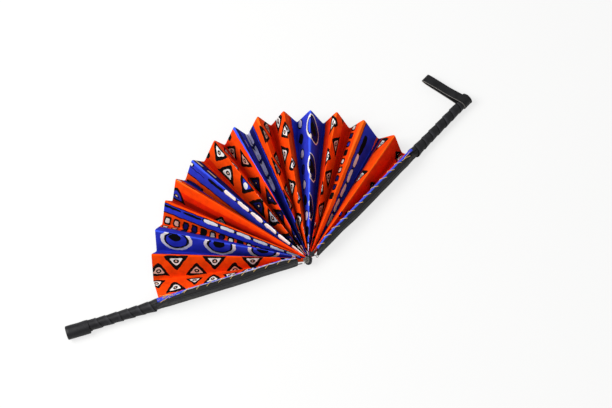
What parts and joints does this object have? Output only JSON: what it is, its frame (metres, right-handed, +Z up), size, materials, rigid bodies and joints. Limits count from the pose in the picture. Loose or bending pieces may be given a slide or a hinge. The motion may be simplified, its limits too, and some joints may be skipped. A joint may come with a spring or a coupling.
{
  "type": "hand fan",
  "caption": "Round folding hand fan: a pleated printed cotton leaf between two leather-covered wooden sticks with wound handles, laced at the pivot.",
  "frame": {"origin": "Foot of the lashing at the pivot, on the surface the fan lies on.", "axes": "+Z up, square to the surface. +Y along the middle of the open leaf, +X to the right handle's side, across the fan's span."},
  "size_m": [0.5103, 0.1717, 0.033],
  "materials": {
    "wood": "plain sawn softwood, hidden in leather",
    "cover_leather": "thin black goat leather, glued and lightly polished",
    "wrap_leather": "black leather strip wound in overlapping turns, matt",
    "loop_leather": "black leather strap with a paler cut edge",
    "thread": "waxed black thread, wound and knotted",
    "printed_cotton": "wax-printed cotton in orange, blue, black and white, stiffened and pleated"
  },
  "bodies": {
    "left_guard": {"left_stick": "wood", "left_guard_cover": "cover_leather", "left_handle_wrap": "wrap_leather", "left_end_band": "wrap_leather", "left_end_panel": "printed_cotton", "left_lacing_thread": "thread"},
    "pleat_01": {"pleat_01": "printed_cotton"},
    "pleat_02": {"pleat_02": "printed_cotton"},
    "pleat_03": {"pleat_03": "printed_cotton"},
    "pleat_04": {"pleat_04": "printed_cotton"},
    "pleat_05": {"pleat_05": "printed_cotton"},
    "pleat_06": {"pleat_06": "printed_cotton"},
    "pleat_07": {"pleat_07": "printed_cotton", "lashing": "thread", "left_knot": "thread", "right_knot": "thread"},
    "pleat_08": {"pleat_08": "printed_cotton"},
    "pleat_09": {"pleat_09": "printed_cotton"},
    "pleat_10": {"pleat_10": "printed_cotton"},
    "pleat_11": {"pleat_11": "printed_cotton"},
    "pleat_12": {"pleat_12": "printed_cotton"},
    "pleat_13": {"pleat_13": "printed_cotton"},
    "right_guard": {"right_stick": "wood", "right_guard_cover": "cover_leather", "right_handle_wrap": "wrap_leather", "right_end_cap": "wrap_leather", "right_end_panel": "printed_cotton", "right_lacing_thread": "thread"},
    "closure_loop": {"closure_loop": "loop_leather"}
  },
  "joints": [
    {"name": "leaf_spread", "type": "hinge", "parent": "pleat_07", "child": "pleat_06", "pos_m": [-0.00022, 0.00808, 0.01], "axis": [0, 0, 1], "range_deg": [-9.3, 12.44], "deforming": ["left_end_panel", "right_end_panel", "pleat_01", "pleat_02", "pleat_03", "pleat_04", "pleat_05", "pleat_06", "pleat_07", "pleat_08", "pleat_09", "pleat_10", "pleat_11", "pleat_12", "pleat_13", "left_lacing_thread", "right_lacing_thread", "lashing", "left_knot", "right_knot", "closure_loop"]},
    {"name": "fold_05_06", "type": "hinge", "parent": "pleat_06", "child": "pleat_05", "pos_m": [-0.00168, 0.00791, 0.01], "axis": [0, 0, 1], "range_deg": [-11.62, 15.54]},
    {"name": "fold_04_05", "type": "hinge", "parent": "pleat_05", "child": "pleat_04", "pos_m": [-0.00311, 0.00747, 0.01], "axis": [0, 0, 1], "range_deg": [-9.62, 12.86]},
    {"name": "fold_03_04", "type": "hinge", "parent": "pleat_04", "child": "pleat_03", "pos_m": [-0.0043, 0.00685, 0.01], "axis": [0, 0, 1], "range_deg": [-9.42, 12.59]},
    {"name": "fold_02_03", "type": "hinge", "parent": "pleat_03", "child": "pleat_02", "pos_m": [-0.00543, 0.00599, 0.01], "axis": [0, 0, 1], "range_deg": [-10.82, 14.47]},
    {"name": "fold_01_02", "type": "hinge", "parent": "pleat_02", "child": "pleat_01", "pos_m": [-0.00646, 0.00486, 0.01], "axis": [0, 0, 1], "range_deg": [-10.92, 14.6]},
    {"name": "left_guard_fold", "type": "hinge", "parent": "pleat_01", "child": "left_guard", "pos_m": [-0.01456, 0.00505, 0.01], "axis": [0, 0, 1], "range_deg": [-16.82, 22.49]},
    {"name": "fold_07_08", "type": "hinge", "parent": "pleat_07", "child": "pleat_08", "pos_m": [0.00113, 0.00801, 0.01], "axis": [0, 0, -1], "range_deg": [-9.82, 13.13]},
    {"name": "fold_08_09", "type": "hinge", "parent": "pleat_08", "child": "pleat_09", "pos_m": [0.00249, 0.00769, 0.01], "axis": [0, 0, -1], "range_deg": [-10.12, 13.53]},
    {"name": "fold_09_10", "type": "hinge", "parent": "pleat_09", "child": "pleat_10", "pos_m": [0.00381, 0.00713, 0.01], "axis": [0, 0, -1], "range_deg": [-10.32, 13.8]},
    {"name": "fold_10_11", "type": "hinge", "parent": "pleat_10", "child": "pleat_11", "pos_m": [0.00502, 0.00634, 0.01], "axis": [0, 0, -1], "range_deg": [-10.12, 13.53]},
    {"name": "fold_11_12", "type": "hinge", "parent": "pleat_11", "child": "pleat_12", "pos_m": [0.00609, 0.00533, 0.01], "axis": [0, 0, -1], "range_deg": [-10.82, 14.47]},
    {"name": "fold_12_13", "type": "hinge", "parent": "pleat_12", "child": "pleat_13", "pos_m": [0.00706, 0.00394, 0.01], "axis": [0, 0, -1], "range_deg": [-13.22, 17.68]},
    {"name": "right_guard_fold", "type": "hinge", "parent": "pleat_13", "child": "right_guard", "pos_m": [0.01517, 0.00274, 0.01], "axis": [0, 0, -1], "range_deg": [-7.92, 10.59]},
    {"name": "loop_swing", "type": "hinge", "parent": "right_guard", "child": "closure_loop", "pos_m": [0.24657, 0.06345, 0.0072], "axis": [0.9673, 0.2538, 0], "range_deg": [0, 150]}
  ],
  "couplings": [
    {"joint": "fold_05_06", "follows": "leaf_spread", "ratio": 1.2473},
    {"joint": "fold_04_05", "follows": "leaf_spread", "ratio": 1.0323},
    {"joint": "fold_03_04", "follows": "leaf_spread", "ratio": 1.0108},
    {"joint": "fold_02_03", "follows": "leaf_spread", "ratio": 1.1613},
    {"joint": "fold_01_02", "follows": "leaf_spread", "ratio": 1.172},
    {"joint": "left_guard_fold", "follows": "leaf_spread", "ratio": 1.8065},
    {"joint": "fold_07_08", "follows": "leaf_spread", "ratio": 1.0538},
    {"joint": "fold_08_09", "follows": "leaf_spread", "ratio": 1.086},
    {"joint": "fold_09_10", "follows": "leaf_spread", "ratio": 1.1075},
    {"joint": "fold_10_11", "follows": "leaf_spread", "ratio": 1.086},
    {"joint": "fold_11_12", "follows": "leaf_spread", "ratio": 1.1613},
    {"joint": "fold_12_13", "follows": "leaf_spread", "ratio": 1.4194},
    {"joint": "right_guard_fold", "follows": "leaf_spread", "ratio": 0.84946}
  ]
}
